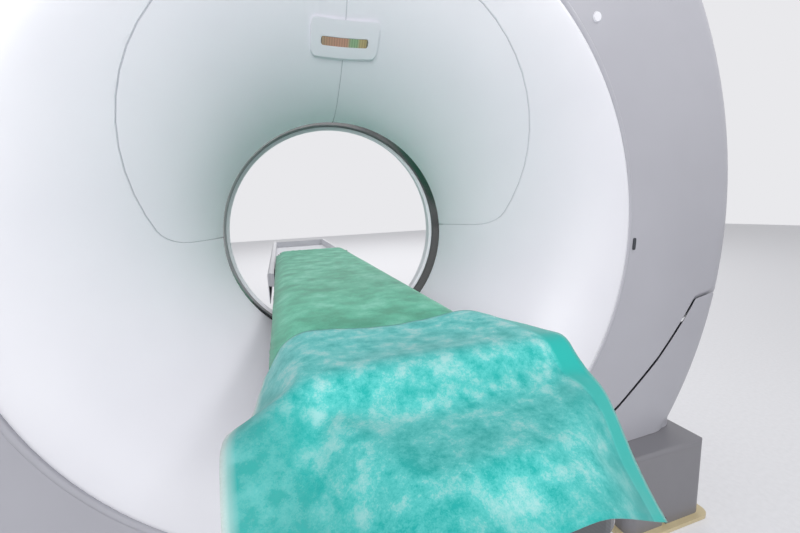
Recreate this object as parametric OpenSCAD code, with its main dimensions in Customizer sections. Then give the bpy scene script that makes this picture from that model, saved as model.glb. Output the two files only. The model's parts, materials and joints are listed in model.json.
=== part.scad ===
// Computed tomography scanner with a tilting gantry and a sliding couch.
// The origin is on the floor under the middle of the bore. X runs across the
// gantry, Y along the bore from the head end towards the couch, Z up.

/* [Bore and white disc] */
// Height of the bore's centre line above the floor
iso_h = 950; // [930:5:1000]
// Radius of the bore
bore_r = 350; // [345:1:360]
// Outer radius of the white disc round the bore
disc_r = 731; // [720:1:740]
// Distance from the scan plane to the front of the white disc
disc_y = 484; // [476:1:500]
// Exponent of the flare's curve, where 2 is an ellipse
flare = 1.55; // [1.45:0.05:1.8]
// Half width of the clear ring that the beam crosses
window_half = 44; // [40:1:50]
// Wall of the clear ring
window_wall = 3; // [2:0.5:4]
// Depth of the raised lip at the couch side's throat
lip_depth = 16; // [12:1:20]
// How far that lip stands into the bore
lip_step = 9; // [6:1:10]
// Radius of the disc's rounded edge
disc_edge_r = 16; // [12:1:20]
// Depth of the disc's rim
disc_rim = 40; // [34:1:46]
// Wall of every moulded cover
wall = 5; // [4:0.5:6]
// Seam between neighbouring covers
seam = 2; // [1.5:0.5:3]

/* [Removable disc panels] */
// Radius of a panel's round outline
lobe_r = 420; // [400:5:430]
// Distance of the outline's centre from the middle plane
lobe_x = 58; // [50:1:65]
// Height of the outline's centre above the bore's centre
lobe_z = 190; // [180:1:200]
// Height of the panels' lower edge above the bore's centre
lobe_foot = 14; // [8:1:20]
// Radius of the panels' lower corner
lobe_corner = 55; // [45:1:65]

/* [Breath display] */
// Width of the display housing
display_w = 159; // [150:1:170]
// Height of the display housing's lower edge above the bore's centre
display_z = 447; // [440:1:452]
// Height of the display housing
display_h = 57; // [52:1:60]
// How far the housing stands proud of the disc
display_proud = 8; // [6:0.5:10]
// Width of the coloured bar
bar_w = 112; // [100:1:120]
// Height of the coloured bar
bar_h = 13; // [11:0.5:16]

/* [Grey shroud] */
// Outer radius of the shroud
shroud_r = 1200; // [1195:1:1210]
// How far the disc stands in front of the shroud
shroud_step = 22; // [18:1:26]
// Gap between the disc and the shroud's rolled lip
lip_gap = 6; // [5:0.5:8]
// Radius of the shroud's rolled lip
lip_r = 10; // [8:0.5:12]
// How far the shroud's face falls back from the lip to its edge
shroud_slope = 14; // [10:1:20]
// Radius of the shroud's outer edge
shroud_edge_r = 60; // [50:1:70]
// Width of the ledge that the disc rests on
ledge_w = 30; // [25:1:34]
// Radius of the round caps on the shroud
cap_r = 13; // [10:0.5:16]
// Distance of the round caps from the bore's centre
cap_at_r = 806; // [800:1:815]
// Angle of the round caps above the horizontal
cap_angle = 40.6; // [38:0.1:43]
// Length of the small latches beside the lip
latch_l = 34; // [28:1:40]

/* [Tilt] */
// Radius of the tilting drum's underside in the middle plane
belly_r = 920; // [914:1:924]
// How fast the underside's radius falls off towards the sides, per metre
belly_fall = 0.375; // [0.36:0.005:0.39]
// Smallest radius of the underside at the sides
belly_min = 490; // [486:1:496]
// Gap between the drum and the fixed covers
split_gap = 8; // [6:0.5:9]
// Depth below the bore's centre at which the fixed side covers begin
cover_top = 175; // [170:1:190]
// Radius of the pivot pins
pivot_r = 55; // [50:1:60]
// Wall of the pivot bushes
bush_wall = 15; // [10:1:18]
// Distance of the yoke arms' inner faces from the middle plane
arm_x = 905; // [900:1:910]
// Thickness of the yoke arms
arm_t = 80; // [70:1:90]
// Radius of the yoke arms' round heads
arm_head_r = 130; // [120:1:140]
// Clearance of rings, rims and seats
fit = 0.3; // [0.2:0.05:0.4]
// Running clearance of the pivot pins
pin_fit = 0.1; // [0.05:0.01:0.1]

/* [Gantry base] */
// Thickness of the floor plate
plate_t = 12; // [10:1:16]
// Half width of the fixed side covers
column_x = 1020; // [1010:1:1028]
// Half depth of the fixed side covers
column_y = 436; // [430:1:440]
// Radius of the side covers' upright edges
column_edge_r = 55; // [45:1:65]
// Distance of the side covers' inner edges from the middle plane
column_in = 722; // [718:1:728]
// Height of the side covers' straight lower part
column_h = 480; // [460:5:490]
// Width of a foot cover
foot_w = 301; // [290:1:305]
// Distance of a foot cover's inner side from the middle plane
foot_x = 734; // [730:1:738]
// Height of a foot cover
foot_h = 268; // [255:1:280]
// Distance of a foot cover's front from the scan plane
foot_y = 527; // [520:1:534]
// Depth of a foot cover
foot_d = 190; // [180:1:200]
// Radius of a foot cover's upright edges
foot_edge_r = 30; // [24:1:36]
// Radius of a foot cover's top edges
foot_top_r = 14; // [10:1:18]
// How far the floor plate shows round a foot cover
plate_show = 18; // [12:1:22]
// Distance of the floor anchors from the middle plane
anchor_x = 880; // [870:1:900]
// Distance of the floor anchors from the scan plane
anchor_y = 250; // [230:1:270]
// Radius of the floor anchor holes
anchor_r = 9; // [8:0.5:10]

/* [Rotor] */
// Radius of the rotor's outer edge
rotor_r = 800; // [790:1:805]
// Radius of the rotor's inner edge
rotor_in = 392; // [388:1:396]
// Distance of the rotor plate's front face from the scan plane
rotor_y = 60; // [56:1:64]
// Thickness of the rotor plate
rotor_t = 40; // [36:1:44]
// Radial thickness of each bearing race
race_t = 24; // [20:1:26]
// Radial space between the races for the balls
race_gap = 16; // [14:0.5:18]
// Width of the bearing
bearing_w = 40; // [36:1:44]
// Number of balls in the bearing
balls = 40; // [32:1:48]
// Inner radius of the slip ring
slip_in = 560; // [550:5:570]
// Outer radius of the slip ring
slip_out = 710; // [700:5:720]
// Radius of the X-ray tube's housing
tube_r = 95; // [90:1:100]
// Reach of the X-ray tube before the scan plane
tube_front = 230; // [220:5:240]
// Radial size of the generator and of the heat exchanger
power_w = 290; // [270:5:290]
// Height of the generator and of the heat exchanger
power_h = 300; // [280:10:310]
// Reach of the generator and the heat exchanger before the scan plane
power_front = 220; // [200:5:230]
// Radial size of a counterweight
weight_w = 150; // [130:5:160]
// Height of a counterweight
weight_h = 120; // [100:5:140]
// Thickness of the detector
detector_t = 45; // [40:1:48]
// Thickness of the detector's electronics
readout_t = 50; // [45:1:52]
// Distance from the bore's centre to the tube's focal spot
focus_r = 560; // [555:1:570]
// Distance from the focal spot to the detector's face
detector_r = 1000; // [995:1:1005]
// Half angle of the fan beam
fan = 27; // [25:0.5:28]

/* [Couch] */
// Depth of the cradle's lowest line below the bore's centre
cradle_low = 260; // [258:1:262]
// Half width of the cradle
cradle_w = 215; // [212:1:217]
// Distance of the cradle's head end from the scan plane
cradle_head = 1030; // [1020:5:1040]
// Length of the cradle
cradle_l = 2380; // [2350:10:2400]
// Rise of the cradle's underside from its middle to its edges
cradle_rise = 56; // [54:1:60]
// Thickness of the cradle in the middle
cradle_t = 38; // [34:1:40]
// Rise of the cradle's top from its middle to its edges
cradle_dish = 26; // [22:1:30]
// Half width of the cradle's head end
nose_w = 113; // [105:1:120]
// Length over which the cradle narrows to its head end
nose_l = 260; // [240:5:280]
// Radius of the head end's corners
nose_r = 30; // [20:1:40]
// Depth of the mattress top below the bore's centre
mattress_top = 174; // [170:1:178]
// Depth of the head cushion's top below the bore's centre
cushion_top = 130; // [126:1:136]
// Depth of the top of the flat pad before the cushion
rest_top = 178; // [176:1:182]
// Length of the flat pad before the cushion
rest_l = 190; // [180:5:200]
// Length of the head cushion
cushion_l = 400; // [380:5:420]
// Gap between the gantry and the near end of the couch top
couch_gap = 236; // [228:1:246]
// Length of the couch top
couch_l = 2220; // [2210:10:2260]
// Half width of the couch top's cover
couch_w = 272; // [265:1:280]
// Height of the couch top's cover
couch_h = 165; // [155:1:175]
// Half width of the lower couch cover
stand_w = 262; // [255:1:268]
// Distance of the lower couch cover from the scan plane
stand_y = 810; // [800:5:820]
// Length of the lower couch cover
stand_l = 1300; // [1250:10:1350]
// Height of the lower couch cover's top edge
stand_h = 300; // [290:1:310]
// Half width of the outer lift column
column_w = 120; // [110:1:130]
// Wall of the lift columns
column_t = 14; // [12:0.5:15]
// Thickness of the couch's base plate
couch_plate_t = 20; // [16:1:24]

/* [Hidden] */
$fn = 96;

white = "#e6e7ec";
grey = "#c3c4ca";
dark = "#2e3034";
steel = "#8c9096";
cream = "#d9cfb4";

shroud_y = disc_y - shroud_step;
ledge_y = disc_y - disc_rim - fit;
lip_in = disc_r + lip_gap;
lip_out = lip_in + 2 * lip_r;
arm_out = arm_x + arm_t;
race_in = rotor_in + 32;
race_mid = race_in + race_t;
race_out = race_mid + race_gap + race_t;
bearing_y = rotor_y + rotor_t + 20;
frame_y = bearing_y + 10;
frame_t = 45;
frame_r = rotor_r + 60;
cradle_bottom_r = (cradle_w * cradle_w + cradle_rise * cradle_rise) / (2 * cradle_rise);
cradle_top_r = (cradle_w * cradle_w + cradle_dish * cradle_dish) / (2 * cradle_dish);
couch_y = disc_y + couch_gap;
couch_top_z = iso_h - cradle_low + 34;
couch_low_z = couch_top_z - couch_h;
trough_z = couch_low_z + 100;
trough_gap = 22;
couch_end_r = 60;
guide_x = 120;
runner_foot = 4;
far = 2000;
over = 1;
plate_margin = 40;
duct_w = 110;
duct_h = 18;
slip_t = 12;
power_at = rotor_r - 40 - power_w;
weight_at = rotor_r - 40 - weight_w;
tube_at = focus_r - 20 + tube_r;
cover_lap = 110;
cover_t = 4;
column_lap = 60;
sheet_t = 3;
sheet_fall = 12;

function reversed(list) = [for (i = [len(list) - 1:-1:0]) list[i]];
function arc(cx, cy, r, from, to, n) =
    [for (i = [0:n]) let (a = from + (to - from) * i / n) [cx + r * cos(a), cy + r * sin(a)]];

// Radius of the tilting drum's underside at the distance x from the middle
function belly(x) = max(belly_r - belly_fall * x * x / 1000, belly_min);

// The flare's section as distance from the bore's axis and from the scan plane.
// A positive depth lies behind the surface, a negative one in front of it.
function flare_curve(depth, n = 24) =
    let (cx = disc_r - disc_edge_r, run = cx - bore_r, rise = disc_y - window_half)
    [for (i = [0:n]) let (t = 90 * i / n)
        [cx - (run - depth) * pow(cos(t), 2 / flare),
         window_half + (rise - depth) * pow(sin(t), 2 / flare)]];

// Distance of the flare's surface from the scan plane at the radius r
function flare_y(r) =
    let (cx = disc_r - disc_edge_r, share = min((cx - r) / (cx - bore_r), 1))
    window_half + (disc_y - window_half) * pow(1 - pow(share, flare), 1 / flare);

function disc_section() =
    let (cx = disc_r - disc_edge_r, cy = disc_y - disc_edge_r)
    concat(flare_curve(0),
        arc(cx, cy, disc_edge_r, 80, 0, 6),
        [[disc_r, disc_y - disc_rim], [disc_r - wall, disc_y - disc_rim]],
        arc(cx, cy, disc_edge_r - wall, 0, 80, 6),
        reversed(flare_curve(wall)));

// Distance of the shroud's face from the scan plane at the radius r
function face_y(r) = shroud_y - shroud_slope * (r - lip_out)
    / (shroud_r - shroud_edge_r - lip_out);

// The shroud's outer line from its flat face to its side, moved in by inset
function shroud_line(inset) =
    concat([[lip_out, shroud_y - inset]],
        arc(shroud_r - shroud_edge_r, shroud_y - shroud_slope - shroud_edge_r,
            shroud_edge_r - inset, 90, 0, 6));

module at_iso() translate([0, 0, iso_h]) children();

module about_bore(section) at_iso() rotate([-90, 0, 0]) rotate_extrude($fn = 240)
    polygon(section);

module along_y(from, to) at_iso() translate([0, to, 0]) rotate([90, 0, 0])
    linear_extrude(to - from) children();

module along_x(from, to) at_iso() translate([from, 0, 0]) rotate([90, 0, 90])
    linear_extrude(to - from) children();

module both_sides() {
    children();
    mirror([1, 0, 0]) children();
}

module both_ends() {
    children();
    mirror([0, 1, 0]) children();
}

module front() mirror([0, 1, 0]) children();

module on_rotor(angle) at_iso() rotate([0, -angle, 0]) children();

module rounded_rect(x0, y0, x1, y1, r) {
    translate([x0 + r, y0]) square([x1 - x0 - 2 * r, y1 - y0]);
    translate([x0, y0 + r]) square([x1 - x0, y1 - y0 - 2 * r]);
    for (x = [x0 + r, x1 - r], y = [y0 + r, y1 - r]) translate([x, y]) circle(r);
}

module block(x0, x1, y0, y1, z0, z1) translate([x0, y0, z0]) cube([x1 - x0, y1 - y0, z1 - z0]);

// A round-cornered box with its upright edges and its top edges rounded
module soft_box(x0, x1, y0, y1, z0, z1, edge_r, top_r) intersection() {
    translate([0, 0, z0]) linear_extrude(z1 - z0) rounded_rect(x0, y0, x1, y1, edge_r);
    translate([0, y1 + over, 0]) rotate([90, 0, 0]) linear_extrude(y1 - y0 + 2 * over)
        rounded_rect(x0, z0 - 2 * top_r, x1, z1, top_r);
    translate([x0 - over, 0, 0]) rotate([90, 0, 90]) linear_extrude(x1 - x0 + 2 * over)
        rounded_rect(y0, z0 - 2 * top_r, y1, z1, top_r);
}

// The space that the drum sweeps below the bore's centre, a body of revolution
// about the tilt axis
module swept_belly(extra) {
    steps = 8;
    half = [for (i = [0:steps]) let (x = shroud_r * i / steps) [belly(x) + extra, x]];
    at_iso() rotate([0, 90, 0]) rotate_extrude($fn = 240)
        polygon(concat([[0, -shroud_r - 20], [belly(shroud_r) + extra, -shroud_r - 20]],
            reversed([for (p = half) [p[0], -p[1]]]), half,
            [[belly(shroud_r) + extra, shroud_r + 20], [0, shroud_r + 20]]));
}

module tilt_envelope(extra) {
    swept_belly(extra);
    block(-far, far, -far, far, iso_h, iso_h + far);
}

module lobe_outline(grow) {
    dz = lobe_foot + lobe_corner - lobe_z;
    dx = sqrt(pow(lobe_r - lobe_corner, 2) - dz * dz);
    turn = atan2(dz, dx);
    top = acos(-lobe_x / (lobe_r + grow));
    polygon(concat([[-grow, lobe_foot - grow]],
        arc(lobe_x + dx, lobe_z + dz, lobe_corner + grow, -90, turn, 5),
        arc(lobe_x, lobe_z, lobe_r + grow, turn + 5, top, 18),
        [[-grow, lobe_z + (lobe_r + grow) * sin(top)]]));
}

// Raised or sunk layer of the flare, cut to an upright outline
module flare_patch(proud, depth) intersection() {
    about_bore(concat(flare_curve(-proud), reversed(flare_curve(depth))));
    along_y(window_half, disc_y + 30) children();
}

// Foot covers, floor plate and frame of the gantry

module foot_form(grow) both_sides() both_ends()
    soft_box(foot_x - grow, foot_x + foot_w + grow, -foot_y - grow, -foot_y + foot_d + grow,
        plate_t, plate_t + foot_h + grow - plate_t, foot_edge_r, foot_top_r);

module floor_plate() color(cream) difference() {
    linear_extrude(plate_t) {
        both_sides() both_ends()
            rounded_rect(foot_x - plate_show, -foot_y - plate_show,
                foot_x + foot_w + plate_show, 0, foot_edge_r);
        square([2 * (foot_x + foot_w), 2 * column_y], center = true);
    }
    both_sides() both_ends() translate([anchor_x, anchor_y, -over])
        cylinder(r = anchor_r, h = plate_t + 2 * over);
}

block_in = 790;
block_out = arm_out + 15;
block_h = 200;
block_wall = 12;
beam_in = column_y - 86;
beam_out = column_y - 6;
beam_h = 80;
foot_arm_z = 90;
foot_arm_x = (block_in + block_out) / 2;
foot_arm_y = foot_y - 52;
foot_pad_r = 42;

module base_frame() color(steel) difference() {
    union() {
        both_sides() difference() {
            block(block_in, block_out, -beam_out, beam_out, plate_t, block_h);
            block(block_in + block_wall, block_out - block_wall, -beam_out - over,
                beam_out + over, plate_t + block_wall, block_h - block_wall);
        }
        both_ends() block(-block_in, block_in, beam_in, beam_out, plate_t, beam_h);
        both_sides() both_ends() block(block_in, block_out, -foot_arm_y - foot_pad_r,
            -beam_out + 40, foot_arm_z, foot_arm_z + 20);
    }
    both_sides() both_ends() translate([anchor_x, anchor_y, 0])
        cylinder(r = anchor_r, h = plate_t + block_wall + over);
    both_sides() both_ends() translate([foot_arm_x, foot_arm_y, foot_arm_z - over])
        cylinder(r = 12 + fit, h = 20 + 2 * over);
}

module levelling_feet() color(dark) both_sides() both_ends()
    translate([foot_arm_x, foot_arm_y, plate_t]) {
        cylinder(r = foot_pad_r, h = 14);
        cylinder(r = 12, h = 120);
        translate([0, 0, foot_arm_z - plate_t - 14]) cylinder(r = 20, h = 14 - fit, $fn = 6);
        translate([0, 0, foot_arm_z - plate_t + 20 + fit]) cylinder(r = 20, h = 14, $fn = 6);
    }

// A yoke arm: a tapered plate with a round head that carries the pivot bush
module yoke(side) color(steel) mirror([side < 0 ? 1 : 0, 0, 0]) {
    waist_z = -belly(arm_x) - 4;
    waist = 140;
    along_x(arm_x, arm_out) difference() {
        union() {
            polygon([[-beam_in + 20, block_h - iso_h], [beam_in - 20, block_h - iso_h],
                [waist, waist_z], [arm_head_r - 8, -40], [arm_head_r - 8, 0],
                [-arm_head_r + 8, 0], [-arm_head_r + 8, -40], [-waist, waist_z]]);
            circle(arm_head_r);
        }
        circle(pivot_r + bush_wall);
        translate([0, waist_z / 2 - 40]) circle(70);
        for (y = [-1, 1]) translate([y * 130, block_h - iso_h + 75]) circle(40);
    }
}

module pivot_bushes() color("#b08d57") both_sides() along_x(arm_x, arm_out) difference() {
    circle(pivot_r + bush_wall);
    circle(pivot_r + pin_fit);
}

module tilt_gear_motor() color(dark) {
    along_x(-arm_out - 50, -arm_out) circle(120);
    along_x(-arm_out - 115, -arm_out - 50) circle(85);
    for (a = [0:60:300]) along_x(-arm_out - 60, -arm_out - 50)
        translate([104 * cos(a), 104 * sin(a)]) circle(8, $fn = 6);
}

// The fixed side covers follow the shroud's form down to a straight column

module side_form(inset) {
    half = concat([[0, shroud_y - inset]], shroud_line(inset));
    about_bore(concat(reversed([for (p = half) [p[0], -p[1]]]), half));
}

module column_form(inset) translate([0, 0, plate_t - (inset > 0 ? over : 0)])
    linear_extrude(column_h - plate_t - inset + (inset > 0 ? over : 0))
        rounded_rect(column_in - 200, -column_y + inset, column_x - inset, column_y - inset,
            column_edge_r - inset);

module base_cover() color(grey) difference() {
    intersection() {
        union() {
            side_form(0);
            column_form(0);
        }
        block(column_in, far, -far, far, plate_t, iso_h - cover_top);
    }
    side_form(wall);
    column_form(wall);
    swept_belly(split_gap);
    foot_form(seam / 2);
}

module base_cover_right() base_cover();
module base_cover_left() mirror([1, 0, 0]) base_cover();

module skirt() color(grey) difference() {
    union() {
        block(-column_in + seam, column_in - seam, -column_y - 12, -column_y - 12 + wall,
            plate_t, 420);
        block(-column_in + seam, column_in - seam, -column_y - 12, -beam_out - fit, plate_t,
            plate_t + wall);
    }
    swept_belly(split_gap);
}

module skirt_front() skirt();
module skirt_back() mirror([0, 1, 0]) skirt();

module pedestal_covers() color("#b9bac0") both_sides() both_ends() difference() {
    soft_box(foot_x, foot_x + foot_w, -foot_y, -foot_y + foot_d, plate_t, foot_h,
        foot_edge_r, foot_top_r);
    soft_box(foot_x + wall, foot_x + foot_w - wall, -foot_y + wall, -foot_y + foot_d + 2,
        plate_t - 3 * foot_top_r, foot_h - wall, foot_edge_r - wall, foot_top_r - wall);
    translate([foot_x + 0.44 * foot_w, -foot_y - over, plate_t - over])
        cube([16, wall + 2 * over, 26]);
    block(0, foot_x + foot_edge_r, -beam_out - seam, -beam_in + seam, plate_t - over,
        beam_h + seam);
}

// A low ramp over the cables from the gantry base to the couch
module cable_duct() color(dark) {
    start = column_y + 12 + fit;
    end = stand_y - plate_margin - fit;
    translate([0, end, 0]) rotate([90, 0, 0]) linear_extrude(end - start)
        polygon([[-duct_w, 0], [duct_w, 0], [duct_w - 30, duct_h], [-duct_w + 30, duct_h]]);
}

// The tilting frame and what it carries

module tilt_frame() color(steel) difference() {
    union() {
        about_bore([[race_out, frame_y], [frame_r, frame_y], [frame_r, frame_y + frame_t],
            [race_out, frame_y + frame_t]]);
        both_sides() block(rotor_r + 40, arm_x - 12, -110, frame_y + frame_t, iso_h - 150,
            iso_h + 150);
        both_sides() block(rotor_r - 60, arm_x - 12, frame_y, frame_y + frame_t, iso_h - 150,
            iso_h + 150);
    }
    for (a = [30:30:330]) if (a != 180) on_rotor(a)
        translate([(race_out + frame_r) / 2, 0, 0]) rotate([-90, 0, 0])
            translate([0, 0, frame_y - over]) cylinder(r = 70, h = frame_t + 2 * over);
}

module pivot_pins() color("#c8ccd2") both_sides() along_x(arm_x - 12, arm_out) circle(pivot_r);

module bearing_outer_race() color("#b9bdc4") about_bore([[race_out - race_t, bearing_y],
    [race_out, bearing_y], [race_out, bearing_y + bearing_w],
    [race_out - race_t, bearing_y + bearing_w]]);

module bearing_balls() color("#dfe2e6") for (i = [0:balls - 1]) on_rotor(i * 360 / balls)
    translate([race_mid + race_gap / 2, bearing_y + bearing_w / 2, 0])
        sphere(race_gap / 2 - fit, $fn = 24);

module drive_stator() color("#8a5a3c") about_bore([[rotor_r + 0.5, frame_y - 30],
    [rotor_r + 26, frame_y - 30], [rotor_r + 26, frame_y], [rotor_r + 0.5, frame_y]]);

module brush_block() color(dark) on_rotor(225) {
    y0 = rotor_y + rotor_t + slip_t + fit;
    translate([slip_in + 30, y0, -60]) cube([slip_out - slip_in - 60, frame_y - y0, 120]);
}

post_r = 13;
post_at = frame_r - post_r - 1;
post_end = face_y(post_at + post_r) - wall - fit;

// Posts between the tilting frame and the inner faces of the shroud
module cover_posts() color(steel) for (a = [18, 60, 120, 162]) on_rotor(a)
    translate([post_at, 0, 0]) rotate([-90, 0, 0]) {
        translate([0, 0, frame_y + frame_t])
            cylinder(r = post_r, h = post_end - frame_y - frame_t);
        translate([0, 0, -post_end]) cylinder(r = post_r, h = post_end + frame_y);
    }

module arm_slot() both_sides() along_x(arm_x - 12, arm_out + 12)
    polygon([[0, 0], [-far * sin(39), -far * cos(39)], [far * sin(39), -far * cos(39)]]);

// A half of the grey shroud: rolled lip, flat face, rounded side and the belly
// that closes it underneath
module shroud() difference() {
    intersection() {
        about_bore(concat([[0, fit / 2], [0, ledge_y], [lip_in, ledge_y]],
            arc(lip_in + lip_r, shroud_y - 2, lip_r, 180, 0, 8),
            shroud_line(0), [[shroud_r, fit / 2]]));
        tilt_envelope(0);
    }
    intersection() {
        about_bore(concat([[0, -over], [0, ledge_y + over], [lip_in - ledge_w, ledge_y + over],
            [lip_in - ledge_w, ledge_y - wall], [lip_in + wall, ledge_y - wall],
            [lip_in + wall, shroud_y - 2 - wall]], shroud_line(wall),
            [[shroud_r - wall, -over]]));
        tilt_envelope(-wall);
    }
    intersection() {
        arm_slot();
        block(-far, far, -far, far, 0, iso_h - 300);
    }
}

module shroud_back() color(grey) shroud();
module shroud_front() color(grey) front() shroud();

// The white disc with its flared throat, in three covers on the front

module disc_shell() about_bore(disc_section());

module lobes(grow) along_y(0, disc_y + over) both_sides() lobe_outline(grow);

module disc_lower_cover() color(white) front() difference() {
    disc_shell();
    lobes(seam / 2);
}

module disc_panel() intersection() {
    disc_shell();
    along_y(0, disc_y + over) lobe_outline(-seam / 2);
}

module disc_panel_right() color(white) front() disc_panel();
module disc_panel_left() color(white) mirror([1, 0, 0]) front() disc_panel();

module display_housing() color(white) front() difference() {
    flare_patch(display_proud, -fit)
        rounded_rect(-display_w / 2, display_z, display_w / 2, display_z + display_h, 12);
    flare_patch(display_proud + 5, -display_proud + 4) bar_outline(fit);
}

module bar_outline(grow) rounded_rect(-bar_w / 2 - grow, bar_z - grow, bar_w / 2 + grow,
    bar_z + bar_h + grow, 5 + grow);

bar_z = display_z + 0.31 * display_h;

module display_lens() color("#c87e62") front()
    flare_patch(display_proud - 1, -display_proud + 4 - fit) bar_outline(0);

module couch_side_disc() color(white) difference() {
    union() {
        disc_shell();
        about_bore(concat([[bore_r + wall, window_half - lip_depth],
            [bore_r, window_half - lip_depth]],
            arc(bore_r - lip_step / 2, window_half - lip_depth / 2, lip_step / 2, 270, 90, 8),
            [[bore_r, window_half], [bore_r + wall, window_half + over]]));
    }
    along_y(0, disc_y + over) both_sides() translate([panel_x, panel_z])
        rounded_rect(-panel_w / 2 - fit, -panel_h / 2 - fit, panel_w / 2 + fit,
            panel_h / 2 + fit, 18);
}

// Control panels on the couch side, each with a socket for its stop button

panel_x = 520;
panel_z = 60;
panel_w = 130;
panel_h = 240;
panel_proud = 4;
stop_r = 20;
stop_travel = 6;
stop_z = panel_h / 2 - 45;
stop_at_r = norm([panel_x, panel_z + stop_z]);
collar_y = flare_y(stop_at_r + stop_r) + panel_proud;

module control_panels() color("#4a4d54") both_sides() difference() {
    union() {
        flare_patch(panel_proud, wall) translate([panel_x, panel_z])
            rounded_rect(-panel_w / 2, -panel_h / 2, panel_w / 2, panel_h / 2, 18);
        along_y(collar_y - 35, collar_y) translate([panel_x, panel_z + stop_z])
            circle(stop_r + 4);
    }
    along_y(0, disc_y) translate([panel_x, panel_z + stop_z]) circle(stop_r / 2 + fit);
}

module stop_button() color("#c0261e") {
    along_y(collar_y - 30, collar_y + stop_travel + over) translate([panel_x, panel_z + stop_z])
        circle(stop_r / 2);
    along_y(collar_y + stop_travel + over, collar_y + stop_travel + 13)
        translate([panel_x, panel_z + stop_z]) circle(stop_r);
}

module e_stop_right() stop_button();
module e_stop_left() mirror([1, 0, 0]) stop_button();

module scan_window() color("#26332f") about_bore([[bore_r, -window_half + fit],
    [bore_r + window_wall, -window_half + fit],
    [bore_r + window_wall, window_half - lip_depth - fit],
    [bore_r, window_half - lip_depth - fit]]);

module shroud_caps() color(white) both_ends() both_sides() on_rotor(cap_angle)
    translate([cap_at_r, 0, 0]) rotate([-90, 0, 0])
        translate([0, 0, face_y(cap_at_r - cap_r) + fit])
            cylinder(r1 = cap_r, r2 = cap_r - 2, h = 3);

module cover_latches() color(dark) both_ends() both_sides() on_rotor(-4)
    translate([lip_out + 14, 0, 0]) rotate([-90, 0, 0])
        translate([0, 0, face_y(lip_out + 9) + fit])
            linear_extrude(2) rounded_rect(-5, -latch_l / 2, 5, latch_l / 2, 4);

// The rotor

module rotor_plate() color("#9aa0a8") difference() {
    union() {
        about_bore([[rotor_in, rotor_y], [rotor_r, rotor_y], [rotor_r, rotor_y + rotor_t],
            [rotor_in, rotor_y + rotor_t]]);
        about_bore([[rotor_in, rotor_y + rotor_t - over], [race_in, rotor_y + rotor_t - over],
            [race_in, bearing_y + bearing_w + 8], [rotor_in, bearing_y + bearing_w + 8]]);
    }
    for (a = [205, 230, 310, 335]) on_rotor(a) rotate([-90, 0, 0])
        translate([650, 0, rotor_y - over]) cylinder(r = 55, h = rotor_t + 2 * over);
}

module bearing_inner_race() color("#b9bdc4") about_bore([[race_in, bearing_y],
    [race_mid, bearing_y], [race_mid, bearing_y + bearing_w], [race_in, bearing_y + bearing_w]]);

module drive_magnets() color("#6b7078") about_bore([[rotor_r - 26, rotor_y + rotor_t],
    [rotor_r, rotor_y + rotor_t], [rotor_r, frame_y - 5], [rotor_r - 26, frame_y - 5]]);

module slip_ring() color("#b8863b") difference() {
    about_bore([[slip_in, rotor_y + rotor_t], [slip_out, rotor_y + rotor_t],
        [slip_out, rotor_y + rotor_t + slip_t], [slip_in, rotor_y + rotor_t + slip_t]]);
    for (r = [slip_in + 20:20:slip_out - 10]) about_bore([[r, rotor_y + rotor_t + slip_t - 4],
        [r + 6, rotor_y + rotor_t + slip_t - 4], [r + 6, far], [r, far]]);
}

module xray_tube() color("#8d9299") on_rotor(90) translate([tube_at, 0, 0])
    rotate([-90, 0, 0]) {
        translate([0, 0, -tube_front]) cylinder(r = tube_r, h = tube_front + rotor_y);
        translate([0, 0, -tube_front - 32]) cylinder(r = 0.63 * tube_r, h = 32);
    }

module collimator() color(dark) on_rotor(90) rotate([90, 0, 90])
    translate([0, 0, rotor_in]) difference() {
        translate([-50, -70, 0]) cube([50 + rotor_y, 140, focus_r - 24 - rotor_in]);
        translate([-12, -50, -over]) cube([24, 100, far]);
    }

module fan_sector(r0, r1, half_y, angle) at_iso() translate([0, 0, focus_r]) rotate([90, 0, 0])
    translate([0, 0, -half_y]) linear_extrude(2 * half_y) intersection() {
        difference() {
            circle(r1, $fn = 240);
            circle(r0, $fn = 240);
        }
        polygon([[0, 0], [-far * sin(angle), -far * cos(angle)],
            [far * sin(angle), -far * cos(angle)]]);
    }

module detector() color("#3f444c") fan_sector(detector_r,
    detector_r + detector_t, rotor_y, fan);

module detector_electronics() color("#2f6b46")
    fan_sector(detector_r + detector_t, detector_r + detector_t + readout_t, rotor_y, fan - 2);

module power_box() translate([power_at, -power_front, -power_h / 2])
    cube([power_w, power_front + rotor_y, power_h]);

module hv_generator() color("#5a6068") on_rotor(0) power_box();

module heat_exchanger() color("#aab0b8") on_rotor(180) difference() {
    power_box();
    for (share = [-0.5:0.1:0.501]) translate([power_at + 30, -power_front - over,
        share * (power_h - 40) - 6]) cube([power_w - 60, 120, 12]);
}

module counterweight() color(steel) for (a = [40, 140]) on_rotor(a)
    translate([weight_at, -weight_h, -weight_h / 2])
        cube([weight_w, weight_h + rotor_y, weight_h]);

// Couch

module couch_base_plate() color(steel) block(-stand_w - 20, stand_w + 20,
    stand_y - plate_margin, stand_y + stand_l + plate_margin, 0, couch_plate_t);

module open_box(w, inset, z0, z1, r) difference() {
    translate([0, 0, z0]) linear_extrude(z1 - z0)
        rounded_rect(-w, stand_y + inset, w, stand_y + stand_l - inset, r);
    translate([0, 0, z0 - over]) linear_extrude(z1 - z0 + 2 * over)
        rounded_rect(-w + cover_t, stand_y + inset + cover_t, w - cover_t,
            stand_y + stand_l - inset - cover_t, r - cover_t);
}

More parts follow.
